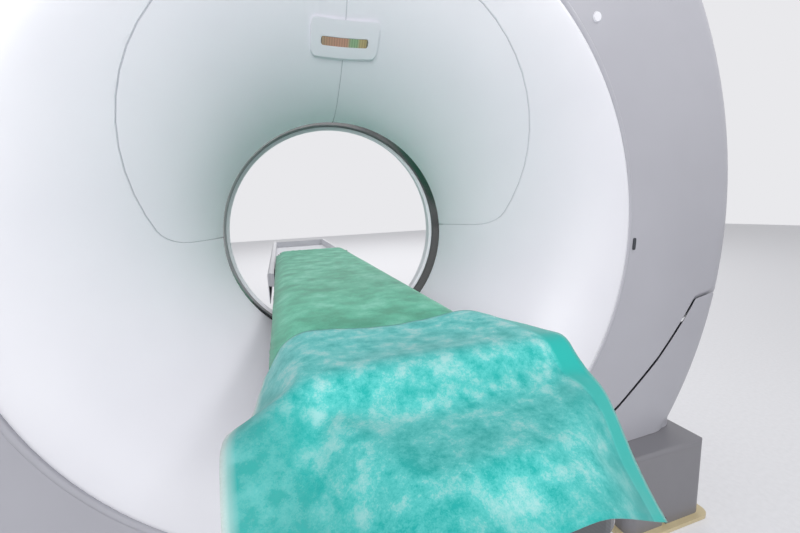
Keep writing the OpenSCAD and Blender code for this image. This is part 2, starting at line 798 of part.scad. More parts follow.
module couch_cover_lower() color(white)
    open_box(stand_w, 0, couch_plate_t, stand_h, couch_end_r);
module couch_cover_middle() color(white)
    open_box(stand_w - cover_t - 2 * fit, cover_t + 2 * fit, stand_h / 2,
        couch_low_z - cover_lap, couch_end_r - cover_t);
module couch_cover_upper() color(white)
    open_box(stand_w - 2 * cover_t - 4 * fit, 2 * cover_t + 4 * fit, stand_h, couch_low_z,
        couch_end_r - 2 * cover_t);

module tube(w, t, z0, z1) difference() {
    translate([-w, stand_y + stand_l / 2 - w, z0]) cube([2 * w, 2 * w, z1 - z0]);
    translate([-w + t, stand_y + stand_l / 2 - w + t, z0 - over])
        cube([2 * (w - t), 2 * (w - t), z1 - z0 + 2 * over]);
}

module lift_column_outer() color(steel) tube(column_w, column_t, couch_plate_t, stand_h);
module lift_column_middle() color("#aeb3ba") tube(column_w - column_t - fit, column_t,
    stand_h / 2 - 40, stand_h + 2 * column_lap);
module lift_column_inner() color(steel) tube(column_w - 2 * column_t - 2 * fit, column_t,
    stand_h - column_lap, couch_low_z);

module couch_frame() color(steel) {
    difference() {
        block(-190, 190, couch_y + 10, couch_y + couch_l - 10, couch_low_z, couch_low_z + 60);
        block(-160, 160, couch_y + 60, couch_y + couch_l - 60, couch_low_z + 14, far);
    }
    guide_blocks(0);
}

// The blocks that carry the cradle's two runners, grown for their holes in the cover
module guide_blocks(grow) for (y = [couch_y + 40, couch_y + 420, couch_y + 760]) both_sides()
    block(guide_x - 22 - grow, guide_x + 22 + grow, y - grow, y + 60 + grow,
        couch_low_z + 60 - over, iso_h - cradle_low + runner_foot - fit);

module couch_top_cover() color(white) difference() {
    soft_box(-couch_w, couch_w, couch_y, couch_y + couch_l, couch_low_z, couch_top_z,
        couch_end_r, 20);
    block(-couch_w + wall, couch_w - wall, couch_y + wall, couch_y + couch_l - wall,
        couch_low_z - over, trough_z - wall);
    for (x = [-1, 1]) block(x * (couch_w + cradle_w + trough_gap) / 2 - 12,
        x * (couch_w + cradle_w + trough_gap) / 2 + 12, couch_y + couch_end_r + 5,
        couch_y + couch_l - couch_end_r - 5, trough_z - wall - over, couch_top_z - wall);
    block(-cradle_w - trough_gap, cradle_w + trough_gap, couch_y - over,
        couch_y + couch_l - wall, trough_z, far);
    guide_blocks(fit);
}

module cradle_section() intersection() {
    difference() {
        translate([0, -cradle_low + cradle_bottom_r]) circle(cradle_bottom_r, $fn = 240);
        translate([0, -cradle_low + cradle_t + cradle_top_r]) circle(cradle_top_r, $fn = 240);
    }
    translate([-cradle_w, -cradle_low - over]) square([2 * cradle_w, cradle_rise + 12]);
}

// The cradle's outline from above, moved in by inset. It narrows to the head end.
module cradle_plan(inset) {
    slant = atan((cradle_w - nose_w) / nose_l);
    cut = nose_r * tan(45 - slant / 2);
    w = nose_w - inset;
    wide = w + 2 * (cradle_w - nose_w);
    side = concat(arc(w - cut, nose_r, nose_r, -90, -slant, 5),
        [[wide, 2 * nose_l], [wide, 2 * far]]);
    translate([0, inset - cradle_head, iso_h - cradle_low - over]) linear_extrude(cradle_low)
        polygon(concat(side, reversed([for (p = side) [-p[0], p[1]]])));
}

module cradle() color("#3b3f45") {
    intersection() {
        along_y(-cradle_head - over, cradle_l - cradle_head) cradle_section();
        cradle_plan(0);
    }
    both_sides() along_y(-cradle_head + 150, cradle_l - cradle_head) intersection() {
        translate([guide_x - 15, -cradle_low + runner_foot]) square([30, 30]);
        difference() {
            translate([0, -cradle_low]) square([cradle_w, 60]);
            translate([0, -cradle_low + cradle_bottom_r]) circle(cradle_bottom_r - 1, $fn = 240);
        }
    }
}

// The section of a pad that lies in the cradle's dished top
module above_cradle(half_w, top, r) difference() {
    rounded_rect(-half_w, -cradle_low, half_w, -top, r);
    translate([0, -cradle_low - 3 * far + cradle_t + fit]) square(6 * far, center = true);
    difference() {
        translate([-far, -cradle_low - over]) square([2 * far, 120]);
        translate([0, -cradle_low + cradle_t + fit + cradle_top_r]) circle(cradle_top_r, $fn = 240);
    }
}

module mattress() color("#3d4047") along_y(-cradle_head + cushion_l + 6,
    cradle_l - cradle_head - 20) above_cradle(cradle_w - 12, mattress_top, 12);

module couch_sheet() color("#2fb9a6") along_y(-cradle_head + cushion_l + 30,
    cradle_l - cradle_head - 120) translate([-cradle_w + 14, -mattress_top + fit])
        square([2 * cradle_w - 28, 2]);

// The head cushion and the thin pad before it are one piece
module head_cushion() color("#4a4d54") intersection() {
    union() {
        along_y(-cradle_head, -cradle_head + rest_l) above_cradle(cradle_w - 3, rest_top, 8);
        along_y(-cradle_head + rest_l, -cradle_head + cushion_l)
            above_cradle(cradle_w - 3, cushion_top, 20);
    }
    cradle_plan(6);
}

// The drape lies on the pad, steps up on the cushion and hangs over both sides
module head_drape() color("#20c0b0") {
    front = -cradle_head - sheet_fall;
    back = -cradle_head + cushion_l + 4;
    step = -cradle_head + rest_l - fit;
    low = -rest_top + fit;
    high = -cushion_top + fit;
    side = cradle_w + sheet_fall;
    along_x(-side - sheet_t, side + sheet_t) polygon([[front, low], [step, low], [step, high],
        [back, high], [back, high + sheet_t], [step - sheet_t, high + sheet_t],
        [step - sheet_t, low + sheet_t], [front, low + sheet_t]]);
    both_sides() along_y(front, back) translate([side, low - sheet_fall])
        square([sheet_t, sheet_fall + over]);
    both_sides() along_y(step - sheet_t, back) translate([side, low - sheet_fall])
        square([sheet_t, high - low + sheet_fall + over]);
}

floor_plate();
base_frame();
levelling_feet();
yoke(-1);  // yoke_left
yoke(1);  // yoke_right
pivot_bushes();
tilt_gear_motor();
base_cover_left();
base_cover_right();
skirt_front();
skirt_back();
pedestal_covers();
cable_duct();
tilt_frame();
pivot_pins();
bearing_outer_race();
bearing_balls();
drive_stator();
brush_block();
cover_posts();
shroud_front();
shroud_back();
disc_lower_cover();
disc_panel_left();
disc_panel_right();
display_housing();
display_lens();
couch_side_disc();
control_panels();
scan_window();
shroud_caps();
cover_latches();
e_stop_left();
e_stop_right();
rotor_plate();
bearing_inner_race();
drive_magnets();
slip_ring();
xray_tube();
collimator();
detector();
detector_electronics();
hv_generator();
heat_exchanger();
counterweight();
couch_base_plate();
couch_cover_lower();
lift_column_outer();
lift_column_middle();
couch_cover_middle();
lift_column_inner();
couch_cover_upper();
couch_frame();
couch_top_cover();
cradle();
mattress();
couch_sheet();
head_cushion();
head_drape();
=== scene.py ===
# %% [markdown]
# # A tilting computed tomography scanner, dressed in Blender
#
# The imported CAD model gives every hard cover, frame and shaft of this scanner in its exact
# place. This notebook keeps those solids and does what CAD can't: it gives each one the finish
# it has on the real machine, and it makes the padded and draped pieces by cloth simulation.

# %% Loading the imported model
import json
import math

import bmesh
import bpy
from mathutils import Matrix, Vector, noise
from mathutils.bvhtree import BVHTree

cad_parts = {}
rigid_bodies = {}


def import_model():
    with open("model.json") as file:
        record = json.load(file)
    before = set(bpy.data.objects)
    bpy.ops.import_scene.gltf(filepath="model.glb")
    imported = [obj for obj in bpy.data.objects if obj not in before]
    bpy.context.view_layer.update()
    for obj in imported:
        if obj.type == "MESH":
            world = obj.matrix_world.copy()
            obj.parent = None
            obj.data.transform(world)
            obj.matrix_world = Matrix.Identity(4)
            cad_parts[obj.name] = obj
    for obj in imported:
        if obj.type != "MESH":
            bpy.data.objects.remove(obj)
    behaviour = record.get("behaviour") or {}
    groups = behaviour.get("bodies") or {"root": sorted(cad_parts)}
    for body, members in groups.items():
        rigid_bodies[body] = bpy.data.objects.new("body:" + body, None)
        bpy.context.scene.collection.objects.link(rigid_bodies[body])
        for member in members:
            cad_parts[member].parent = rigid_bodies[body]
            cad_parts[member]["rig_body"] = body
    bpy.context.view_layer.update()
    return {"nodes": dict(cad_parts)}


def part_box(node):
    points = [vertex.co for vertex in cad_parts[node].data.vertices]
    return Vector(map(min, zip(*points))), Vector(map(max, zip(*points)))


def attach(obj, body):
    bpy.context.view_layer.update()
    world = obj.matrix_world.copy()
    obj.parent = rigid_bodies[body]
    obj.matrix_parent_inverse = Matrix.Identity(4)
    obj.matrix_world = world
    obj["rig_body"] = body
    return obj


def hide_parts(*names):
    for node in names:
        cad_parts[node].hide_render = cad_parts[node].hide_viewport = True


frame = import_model()
NODES = frame["nodes"]

# %% [markdown]
# ## The camera
#
# The picture was taken with a wide lens from just in front of the head rest, at about the eye
# height of a seated person. Its place was worked out from known circles: the two rims of the
# bore and the edge of the white disc. A lens of 17 mm on a 36 mm sensor has that wide view. The
# camera looks 17 degrees to the right, 9 degrees down, and is tipped by 2.6 degrees.

# %% Placing the camera
ISO_Z = 0.95  # height of the bore's axis over the floor
FRAME_WIDTH, FOCAL_LENGTH = 800, 378.06  # in pixels
SENSOR = 36  # in millimetres
ISO = Vector((0, 0, ISO_Z))
EYE = ISO + Vector((-0.18526, -1.28408, 0.07958))
YAW, PITCH, ROLL = (math.radians(a) for a in (17.228, -8.944, 2.572))

ahead = Vector((math.sin(YAW) * math.cos(PITCH), math.cos(YAW) * math.cos(PITCH),
                math.sin(PITCH)))
level = Vector((math.cos(YAW), -math.sin(YAW), 0))
down = ahead.cross(level)
right = math.cos(ROLL) * level + math.sin(ROLL) * down
under = -math.sin(ROLL) * level + math.cos(ROLL) * down

camera = bpy.data.objects.new("camera", bpy.data.cameras.new("camera"))
bpy.context.scene.collection.objects.link(camera)
camera.data.sensor_width = SENSOR
camera.data.lens = FOCAL_LENGTH / FRAME_WIDTH * SENSOR
camera.data.clip_start = 0.02
turn = Matrix((right, -under, -ahead)).transposed().to_4x4()
camera.matrix_world = Matrix.Translation(EYE) @ turn
bpy.context.scene.camera = camera
print("lens", round(camera.data.lens, 2), "mm at", [round(c, 3) for c in EYE])

# %% [markdown]
# ## Colours and nodes
#
# Colours are picked as the hex values that a screen shows. Blender's shaders work in linear
# light, so one function turns each hex value round before it is used. A second small function
# adds any node with its settings and links, which keeps each finish down to a few lines.

# %% Two helpers for every finish


def linear(text):
    """A hex colour such as #eeeef4 as linear red, green, blue and alpha."""
    parts = [int(text[i:i + 2], 16) / 255 for i in (1, 3, 5)]
    return [p / 12.92 if p <= 0.04045 else ((p + 0.055) / 1.055) ** 2.4 for p in parts] + [1]


def add(material, kind, **settings):
    """Adds a node. A socket as a value makes a link, and anything else is a setting."""
    made = material.node_tree.nodes.new("ShaderNode" + kind)
    for name, value in settings.items():
        spot = name.replace("_", " ")
        found = made.inputs.get(spot)
        if name[:2] == "in" and name[2:].isdigit():
            found = made.inputs[int(name[2:])]
        if isinstance(value, bpy.types.NodeSocket):
            material.node_tree.links.new(value, found)
        elif found is not None:
            found.default_value = value
        else:
            setattr(made, name, value)
    return made


def finish_named(name, **settings):
    """A new material with its Principled shader's plain settings."""
    material = bpy.data.materials.new(name)
    material.use_nodes = True
    shader = material.node_tree.nodes["Principled BSDF"]
    for key, value in settings.items():
        shader.inputs[key.replace("_", " ")].default_value = value
    return material, shader


def feed(material, shader, **links):
    """Links outputs to the shader's sockets."""
    for key, socket in links.items():
        material.node_tree.links.new(socket, shader.inputs[key.replace("_", " ")])


def ramp(material, value, stops):
    """A colour ramp whose stops are (position, hex)."""
    made = add(material, "ValToRGB", Fac=value)
    band = made.color_ramp
    while len(band.elements) < len(stops):
        band.elements.new(0.5)
    for element, (place, shade) in zip(band.elements, stops):
        element.position = place
        element.color = linear(shade)
    return made.outputs["Color"]


def number_ramp(material, value, low, high, start=0.0, end=1.0):
    """A value moved from the range start to end onto low to high."""
    made = add(material, "MapRange", Value=value, From_Min=start, From_Max=end, To_Min=low,
               To_Max=high)
    return made.outputs["Result"]


print("white cover colour in linear light:", [round(c, 3) for c in linear("#eeeef4")])

# %% [markdown]
# ## Painted covers
#
# The big covers are moulded from rigid polyurethane foam and sprayed with a satin two-part
# paint. Such paint has a soft sheen, a faint orange peel of one to two millimetres, and large
# areas that drift very slightly in tone. The orange peel is a noise bump only 0.05 mm deep. The
# drift is a noise of about half a metre, and the roughness follows a third noise, as where
# hands and cloths have polished the paint.

# %% Satin paint on polyurethane foam


def satin_paint(name, base, deep, rough=0.42, peel=0.0016):
    material, shader = finish_named(name, IOR=1.5, Coat_Weight=0.12, Coat_Roughness=0.3)
    place = add(material, "TexCoord").outputs["Object"]
    drift = add(material, "TexNoise", Vector=place, Scale=2.2, Detail=3.0, Roughness=0.5)
    wiped = add(material, "TexNoise", Vector=place, Scale=9.0, Detail=4.0, Roughness=0.6)
    grain = add(material, "TexNoise", Vector=place, Scale=1 / peel, Detail=1.0)
    tone = ramp(material, drift.outputs[0], [(0.3, deep), (0.7, base)])
    polish = number_ramp(material, wiped.outputs[0], rough - 0.06, rough + 0.08, 0.3, 0.7)
    bump = add(material, "Bump", Height=grain.outputs[0], Strength=0.35, Distance=0.00005)
    feed(material, shader, Base_Color=tone, Roughness=polish, Normal=bump.outputs[0])
    return material


white_paint = satin_paint("satin_paint_white_on_polyurethane", "#eeeef4", "#e7e7ee")
grey_paint = satin_paint("satin_paint_grey_on_polyurethane", "#b7b7bf", "#afafb7", 0.38)
# The pedestal's paint is darker than the shroud's grey as painted shade: its dark tone stands in
# for the shade that falls on the low pedestal and skirts.
pedestal_paint_with_painted_shade = satin_paint("satin_paint_warm_grey_on_polyurethane", "#858489", "#7d7c82", 0.4)
couch_paint = satin_paint("satin_paint_white_on_couch_shell", "#e4e5e9", "#dcdde2", 0.4)
print("four satin paints")

# %% [markdown]
# ## Metals and housings
#
# Under the covers everything is steel, cast aluminium, bronze or powder-coated sheet. Powder
# coat is rougher and more bumpy than sprayed paint, with a texture near two millimetres. Ground
# steel shows fine lines along the way it was ground, drawn here by a noise that is stretched
# along one axis. Cast aluminium keeps the pebbled skin of its sand mould.

# %% Powder coat, ground steel and castings


def powder_coat(name, base, worn, rough=0.55):
    material, shader = finish_named(name, IOR=1.52)
    place = add(material, "TexCoord").outputs["Object"]
    speck = add(material, "TexNoise", Vector=place, Scale=480.0, Detail=2.0)
    dust = add(material, "TexNoise", Vector=place, Scale=6.0, Detail=5.0)
    tone = ramp(material, dust.outputs[0], [(0.35, base), (0.72, worn)])
    polish = number_ramp(material, dust.outputs[0], rough - 0.08, rough + 0.1, 0.3, 0.7)
    bump = add(material, "Bump", Height=speck.outputs[0], Strength=0.5, Distance=0.0002)
    feed(material, shader, Base_Color=tone, Roughness=polish, Normal=bump.outputs[0])
    return material


def worked_metal(name, base, deep, rough, stretch, depth=0.00003):
    material, shader = finish_named(name, Metallic=1.0)
    place = add(material, "TexCoord").outputs["Object"]
    along = add(material, "Mapping", Vector=place, Scale=stretch).outputs[0]
    lines = add(material, "TexNoise", Vector=along, Scale=1.0, Detail=3.0)
    stain = add(material, "TexNoise", Vector=place, Scale=12.0, Detail=4.0)
    tone = ramp(material, stain.outputs[0], [(0.3, deep), (0.65, base)])
    polish = number_ramp(material, lines.outputs[0], rough - 0.08, rough + 0.1, 0.3, 0.7)
    bump = add(material, "Bump", Height=lines.outputs[0], Strength=0.4, Distance=depth)
    feed(material, shader, Base_Color=tone, Roughness=polish, Normal=bump.outputs[0])
    return material


steel_coat = powder_coat("powder_coated_steel_grey", "#6b7077", "#7a7f86")
black_coat = powder_coat("powder_coated_housing_black", "#25272b", "#33363b", 0.5)
cream_enamel = powder_coat("stove_enamelled_steel_cream", "#dccda6", "#d0bf97", 0.4)
ground_steel = worked_metal("ground_bearing_steel", "#c9ccd0", "#b4b8bd", 0.26, (40, 40, 900))
cast_alloy = worked_metal("sand_cast_aluminium", "#b7babf", "#9fa3a9", 0.45, (500, 500, 500),
                          0.0002)
turned_bronze = worked_metal("turned_bronze", "#b98f55", "#9a733d", 0.3, (30, 700, 30))
winding = worked_metal("lacquered_copper_winding", "#b4653c", "#8c4526", 0.35, (30, 900, 30))
print("seven metals and coats")

# %% [markdown]
# ## Plastics, rubber and the clear ring
#
# The ring that the beam crosses is a thin polyester film over a dark frame. It is deep
# green-black and glossy, so it mirrors the bore. Switch panels are moulded ABS with a spark-eroded
# grain. The push buttons are smooth ABS, the duct is rubber, and the boards are lacquered.

# %% Moulded plastics


def moulded(name, base, deep, rough, grain=0.0012, depth=0.00008, **settings):
    material, shader = finish_named(name, IOR=1.53, **settings)
    place = add(material, "TexCoord").outputs["Object"]
    skin = add(material, "TexNoise", Vector=place, Scale=1 / grain, Detail=2.0)
    smear = add(material, "TexNoise", Vector=place, Scale=18.0, Detail=4.0)
    tone = ramp(material, smear.outputs[0], [(0.3, deep), (0.7, base)])
    polish = number_ramp(material, smear.outputs[0], rough - 0.05, rough + 0.07, 0.3, 0.7)
    bump = add(material, "Bump", Height=skin.outputs[0], Strength=0.4, Distance=depth)
    feed(material, shader, Base_Color=tone, Roughness=polish, Normal=bump.outputs[0])
    return material


film = moulded("polyester_film_green_black", "#13201a", "#0d1612", 0.1, 0.004, 0.000005,
               Specular_IOR_Level=0.3)
panel_abs = moulded("grained_abs_charcoal", "#3b3e44", "#303338", 0.5)
red_abs = moulded("smooth_abs_red", "#c3241b", "#b01d15", 0.22, 0.003, 0.00003)
duct_rubber = moulded("extruded_rubber_black", "#26272a", "#1c1d1f", 0.62)
board = moulded("lacquered_circuit_board_green", "#2b6a45", "#1f5235", 0.35)
print("five plastics")

# %% [markdown]
# The patient's cradle is a laminate of carbon fibre in clear lacquer. Its twill shows as small
# diagonal steps of about two millimetres. Two wave patterns that cross give those steps, and the
# lacquer is a smooth coat above them.

# %% Carbon laminate
laminate, shader = finish_named("lacquered_carbon_twill", IOR=1.55, Coat_Weight=0.7,
                                Coat_Roughness=0.12)
place = add(laminate, "TexCoord").outputs["Object"]
warp = add(laminate, "TexWave", Vector=place, Scale=150.0, bands_direction="DIAGONAL")
weft = add(laminate, "TexWave", Vector=place, Scale=150.0, bands_direction="Y")
cross = add(laminate, "Math", operation="MULTIPLY", in0=warp.outputs["Fac"],
            in1=weft.outputs["Fac"])
twill = ramp(laminate, cross.outputs[0], [(0.1, "#2a2d31"), (0.75, "#363a3f")])
bump = add(laminate, "Bump", Height=cross.outputs[0], Strength=0.25, Distance=0.0001)
feed(laminate, shader, Base_Color=twill, Normal=bump.outputs[0])
shader.inputs["Roughness"].default_value = 0.38
print("one laminate")

# %% [markdown]
# ## The breath display
#
# A strip of lamps over the bore tells the patient when to hold their breath. It lies behind a
# smoky lens. The lamps are a row of small coloured cells: three fifths are reddish, then a green
# group, then an amber end. The colour follows the distance from the left end of the lens, and
# fine upright bars part the cells.

# %% The lens of the breath display
lens, shader = finish_named("tinted_polycarbonate_over_lamps", IOR=1.58, Roughness=0.22,
                            Coat_Weight=0.3, Coat_Roughness=0.1)
place = add(lens, "TexCoord").outputs["Object"]
apart = add(lens, "SeparateXYZ", Vector=place)
left_end, right_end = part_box("display_lens")[0].x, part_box("display_lens")[1].x
share = number_ramp(lens, apart.outputs["X"], 0, 1, left_end, right_end)
cells = ramp(lens, share, [(0.0, "#6f5f55"), (0.03, "#a88c74"), (0.14, "#b48d78"),
                           (0.30, "#b98c7a"), (0.56, "#bd8e7c"), (0.62, "#97a686"),
                           (0.65, "#90a986"), (0.77, "#90a986"), (0.83, "#b3a078"),
                           (0.95, "#b09b72"), (0.98, "#7d7263")])
bars = add(lens, "TexWave", Vector=place, Scale=52.0, bands_direction="X")
grille = ramp(lens, bars.outputs["Fac"], [(0.0, "#d6d6d6"), (0.35, "#ffffff")])
mixed = add(lens, "Mix", data_type="RGBA", blend_type="MULTIPLY", in0=1.0)
lens.node_tree.links.new(cells, mixed.inputs[6])
lens.node_tree.links.new(grille, mixed.inputs[7])
feed(lens, shader, Base_Color=mixed.outputs[2], Emission_Color=mixed.outputs[2])
shader.inputs["Emission Strength"].default_value = 0.12
print("display lens from x", round(left_end, 4), "to", round(right_end, 4))

# %% [markdown]
# ## Handing out the finishes
#
# Each CAD node gets its finish by its name. A node's mesh is never changed, only the material
# slot on its object.

# %% Finish of every CAD node
FINISH = {
    white_paint: "disc_lower_cover disc_panel_left disc_panel_right display_housing "
                 "couch_side_disc shroud_caps",
    couch_paint: "couch_cover_lower couch_cover_middle couch_cover_upper couch_top_cover",
    grey_paint: "shroud_front shroud_back base_cover_left base_cover_right",
    # The pedestal covers and skirts take the darker grey, whose tone is painted shade.
    pedestal_paint_with_painted_shade: "pedestal_covers skirt_front skirt_back",
    cream_enamel: "floor_plate",
    steel_coat: "base_frame yoke_left yoke_right tilt_frame cover_posts counterweight "
                "hv_generator couch_base_plate lift_column_outer lift_column_inner couch_frame",
    ground_steel: "levelling_feet pivot_pins bearing_outer_race bearing_inner_race "
                  "bearing_balls drive_magnets lift_column_middle",
    cast_alloy: "rotor_plate xray_tube heat_exchanger",
    turned_bronze: "pivot_bushes slip_ring",
    winding: "drive_stator",
    black_coat: "tilt_gear_motor collimator detector",
    board: "detector_electronics",
    duct_rubber: "cable_duct",
    panel_abs: "control_panels brush_block cover_latches",
    red_abs: "e_stop_left e_stop_right",
    film: "scan_window",
    lens: "display_lens",
    laminate: "cradle",
}
for material, names in FINISH.items():
    for name in names.split():
        node = NODES[name]
        node.data.materials.clear()
        node.data.materials.append(material)
print(sum(len(names.split()) for names in FINISH.values()), "nodes have a finish")

# %% [markdown]
# ## Rounded, smooth covers
#
# A moulded and painted cover has no knife edges: its edges are rounded by a millimetre or two,
# and the paint flows round them, which gives each seam its thin line of light. The CAD covers
# have sharp edges, and their flare is cut in narrow rings. So each visible cover is copied,
# its doubled corners are merged, flat neighbours are joined, and every edge sharper than
# 30 degrees is bevelled. Weighted normals then shade the rings as one curve.

# %% Copies of the covers with rounded edges


def only(piece):
    """Makes one object the selected and active one."""
    bpy.ops.object.select_all(action="DESELECT")
    piece.select_set(True)
    bpy.context.view_layer.objects.active = piece


def new_piece(name, bm, material, smooth=True):
    """Puts a bmesh in the scene as a piece."""
    mesh = bpy.data.meshes.new(name)
    bm.to_mesh(mesh)
    bm.free()
    for face in mesh.polygons:
        face.use_smooth = smooth
    mesh.materials.append(material)
    piece = bpy.data.objects.new(name, mesh)
    bpy.context.scene.collection.objects.link(piece)
    return piece


def rounded_block(low, high, radius, segments=4):
    """A bmesh box between two corners with all of its edges rounded."""
    bm = bmesh.new()
    bmesh.ops.create_cube(bm, size=1)
    size = Vector(high) - Vector(low)
    bmesh.ops.scale(bm, vec=size, verts=bm.verts)
    bmesh.ops.translate(bm, vec=(Vector(high) + Vector(low)) / 2, verts=bm.verts)
    bmesh.ops.bevel(bm, geom=bm.edges[:], offset=radius, segments=segments, profile=0.5,
                    affect="EDGES", material=-1)
    return bm


def soft_edged(name, radius, segments=2):
    """A copy of a CAD cover with rounded edges and smooth curves, which replaces it."""
    node = NODES[name]
    bm = bmesh.new()
    bm.from_mesh(node.data)
    bmesh.ops.remove_doubles(bm, verts=bm.verts, dist=0.00002)
    bmesh.ops.dissolve_limit(bm, angle_limit=math.radians(0.4), verts=bm.verts,
                             edges=bm.edges, delimit={"NORMAL"})
    sharp = [e for e in bm.edges if len(e.link_faces) == 2
             and e.calc_face_angle() > math.radians(30)]
    bmesh.ops.bevel(bm, geom=sharp, offset=radius, segments=segments, profile=0.5,
                    affect="EDGES", clamp_overlap=True, material=-1)
    mesh = bpy.data.meshes.new(name + "_cover")
    bm.to_mesh(mesh)
    bm.free()
    mesh.materials.append(node.data.materials[0])
    for face in mesh.polygons:
        face.use_smooth = True
    mesh.set_sharp_from_angle(angle=math.radians(40))
    piece = bpy.data.objects.new(name + "_cover", mesh)
    bpy.context.scene.collection.objects.link(piece)
    normals = piece.modifiers.new("normals", "WEIGHTED_NORMAL")
    normals.keep_sharp = True
    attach(piece, node["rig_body"])
    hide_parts(name)
    return len(mesh.polygons)


ROUNDED = {
    0.0015: "disc_lower_cover disc_panel_left disc_panel_right display_housing "
            "couch_side_disc shroud_front shroud_back base_cover_left base_cover_right "
            "pedestal_covers skirt_front skirt_back",
    0.002: "couch_top_cover couch_cover_lower couch_cover_middle couch_cover_upper",
    0.001: "control_panels e_stop_left e_stop_right scan_window",
}
for radius, names in ROUNDED.items():
    for name in names.split():
        print(name, soft_edged(name, radius), "faces with edges of", radius * 1000, "mm")

# %% [markdown]
# ## Seals in the disc's seams
#
# The seams between the three covers of the white disc are only two millimetres wide, and a pale
# foam seal closes them just below the paint. Without it each seam would be a black line. The seal
# is a ribbon as wide as the seam. It follows the panels' outline, and its depth follows the
# flare, which is a superellipse between the bore and the disc's face.

# %% Ribbons along the seams
BORE_R, RUN, RISE, WINDOW, POWER = 0.350, 0.365, 0.440, 0.044, 1.55  # the flare's curve
SEAM, SUNK, DEEPEST = 0.002, 0.0017, 0.012
PANEL_INNER, PANEL_LOW, PANEL_CORNER = 0.30, 0.014, 0.055  # the panel's lower edge
SIDE_X, SIDE_Z, SIDE_R = 0.058, 0.190, 0.420  # centre and radius of the panel's long arc
SEAM_TOP = 0.600  # where the middle seam meets the top of the long arcs


def flare_face(x, z):
    """Distance of the disc's face before the scan plane, over a point x, z from the axis."""
    share = min(max((BORE_R + RUN - math.hypot(x, z)) / RUN, 0), 1)
    return WINDOW + RISE * (1 - share ** POWER) ** (1 / POWER)


def arc_line(cx, cz, radius, start, end, count):
    """Points on an arc round cx, cz between two angles in degrees."""
    angles = [math.radians(start + (end - start) * i / count) for i in range(count + 1)]
    return [Vector((cx + radius * math.cos(a), cz + radius * math.sin(a))) for a in angles]


def panel_outline():
    """The outline of the right panel as a row of points, seen from the front."""
    dz = PANEL_LOW + PANEL_CORNER - SIDE_Z
    dx = math.sqrt((SIDE_R - PANEL_CORNER) ** 2 - dz * dz)
    turn = math.degrees(math.atan2(dz, dx))
    top = math.degrees(math.acos(-SIDE_X / SIDE_R))
    corner = arc_line(SIDE_X + dx, SIDE_Z + dz, PANEL_CORNER, -90, turn, 5)
    side = arc_line(SIDE_X, SIDE_Z, SIDE_R, turn + 5, top, 18)
    return [Vector((PANEL_INNER, PANEL_LOW))] + corner + side


def ribbon(bm, line, mirror):
    """Adds a strip along the line, half a seam to both sides and sunk under the face."""
    points = []
    for a, b in zip(line, line[1:]):
        count = max(int((b - a).length / 0.006), 1)
        points += [(a.lerp(b, i / count), (b - a).normalized()) for i in range(count)]
    last = None
    for spot, along in points:
        off = Vector((-along.y, along.x)) * SEAM / 2
        if math.hypot(*spot) < BORE_R + 0.003:
            last = None
            continue
        slope = flare_face(*(spot * 1.002)) - flare_face(*spot)
        steep = math.hypot(1, slope / (0.002 * spot.length))
        pair = []
        for p in (spot - off, spot + off):
            y = -flare_face(*p) + min(SUNK * steep, DEEPEST)
            pair.append(bm.verts.new((mirror * p.x, y, ISO_Z + p.y)))
        if last:
            bm.faces.new((last[0], last[1], pair[1], pair[0]))
        last = pair


outline = panel_outline()
bm = bmesh.new()
for mirror in (1, -1):
    ribbon(bm, outline, mirror)
ribbon(bm, [Vector((0, BORE_R)), Vector((0, SEAM_TOP))], 1)
bmesh.ops.recalc_face_normals(bm, faces=bm.faces)
seam_foam = moulded("closed_cell_foam_pale_grey", "#c9cbd1", "#bdbfc6", 0.8)
seals = new_piece("disc_seam_seals", bm, seam_foam, smooth=False)
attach(seals, NODES["disc_lower_cover"]["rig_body"])
print("seals with", len(seals.data.polygons), "faces")

# %% [markdown]
# ## Keys on the control panels
#
# The two panels on the couch side carry a keypad under the stop button: three columns of flat
# keys that stand one millimetre proud, and a small dark window above them. The panel's face
# follows the flare, so each key is turned to the slope of the face where it sits.

# %% Keys that follow the panel's face
PANEL = Vector((0.520, 0.060))  # middle of the right control panel, from the bore's axis
PANEL_PROUD = 0.004
KEY_PITCH_X, KEY_PITCH_Z, LOWEST_KEY = 0.034, 0.030, -0.078
KEY_SIZE, WINDOW_SIZE, WINDOW_UP = (0.024, 0.019, 0.001), (0.092, 0.022, 0.0006), 0.042


def pad_on_face(whole, x, z, width, height, proud):
    """Adds a flat key with rounded upright edges to the bmesh, turned to the panel's slope."""
    bm = rounded_block((-width / 2, -proud, -height / 2), (width / 2, proud, height / 2),
                       min(0.4 * proud, 0.003), 2)
    step = 0.004
    rise_x = (flare_face(x + step, z) - flare_face(x - step, z)) / (2 * step)
    rise_z = (flare_face(x, z + step) - flare_face(x, z - step)) / (2 * step)
    normal = Vector((-rise_x, 1, -rise_z)).normalized()
    turn = Vector((0, 1, 0)).rotation_difference(normal).to_matrix().to_4x4()
    spot = Vector((x, flare_face(x, z) + PANEL_PROUD, ISO_Z + z))
    bm.transform(Matrix.Translation(spot) @ turn)
    mesh = bpy.data.meshes.new("one key")
    bm.to_mesh(mesh)
    bm.free()
    whole.from_mesh(mesh)
    bpy.data.meshes.remove(mesh)


